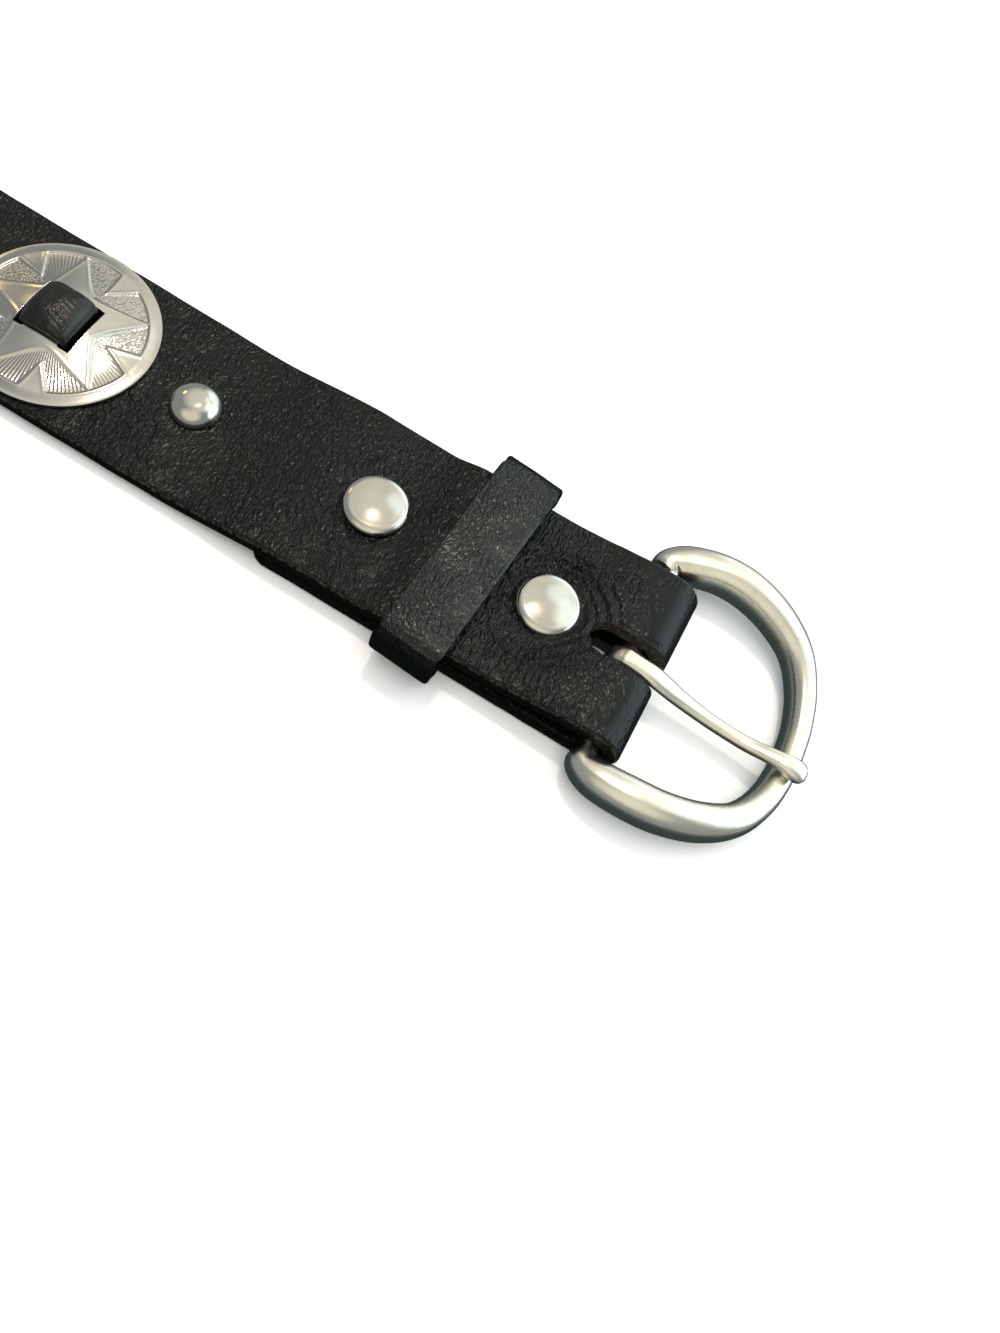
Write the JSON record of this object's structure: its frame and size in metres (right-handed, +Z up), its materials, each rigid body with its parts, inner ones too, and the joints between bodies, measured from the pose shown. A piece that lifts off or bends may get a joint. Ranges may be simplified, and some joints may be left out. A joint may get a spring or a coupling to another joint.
{
  "type": "concho belt",
  "caption": "Flat black leather belt with round star conchos laced on, small dome studs between them, a keeper loop, snap caps and a D-shaped prong buckle.",
  "frame": {"origin": "under the middle of the whole belt's box, on the plane that the belt lies on", "axes": "+X along the belt towards the buckle, +Y across the strap, +Z up out of its face"},
  "size_m": [1.0734, 0.059, 0.0153],
  "materials": {
    "strap_leather": "creased, slightly glossy",
    "keeper_leather": "smooth, glossy",
    "lace_leather": "soft, glossy",
    "satin_nickel": "satin",
    "polished_nickel": "polished",
    "stamped_nickel": "stamped and polished"
  },
  "bodies": {
    "belt": {"strap": "strap_leather", "keeper": "keeper_leather", "snap_1": "polished_nickel", "snap_2": "polished_nickel", "dome_stud_1": "polished_nickel", "dome_stud_2": "polished_nickel", "dome_stud_3": "polished_nickel", "dome_stud_4": "polished_nickel", "dome_stud_5": "polished_nickel", "dome_stud_6": "polished_nickel", "dome_stud_7": "polished_nickel", "dome_stud_8": "polished_nickel", "dome_stud_9": "polished_nickel", "dome_stud_10": "polished_nickel", "dome_stud_11": "polished_nickel", "dome_stud_12": "polished_nickel", "concho_1": "stamped_nickel", "concho_2": "stamped_nickel", "concho_3": "stamped_nickel", "concho_4": "stamped_nickel", "concho_5": "stamped_nickel", "concho_6": "stamped_nickel", "concho_7": "stamped_nickel", "concho_8": "stamped_nickel", "concho_9": "stamped_nickel", "concho_10": "stamped_nickel", "concho_11": "stamped_nickel", "concho_12": "stamped_nickel", "lace_1": "lace_leather", "lace_2": "lace_leather", "lace_3": "lace_leather", "lace_4": "lace_leather", "lace_5": "lace_leather", "lace_6": "lace_leather", "lace_7": "lace_leather", "lace_8": "lace_leather", "lace_9": "lace_leather", "lace_10": "lace_leather", "lace_11": "lace_leather", "lace_12": "lace_leather"},
    "frame": {"buckle_frame": "satin_nickel"},
    "tongue": {"buckle_tongue": "satin_nickel"}
  },
  "joints": [
    {"name": "frame_swing", "type": "hinge", "parent": "belt", "child": "frame", "pos_m": [0.49734, -0.00062, 0.0061], "axis": [0.0558, -0.9984, 0], "range_deg": [0, 45]},
    {"name": "tongue_swing", "type": "hinge", "parent": "frame", "child": "tongue", "pos_m": [0.49746, -0.00272, 0.0061], "axis": [-0.0419, -0.9991, 0], "range_deg": [0, 85]}
  ]
}
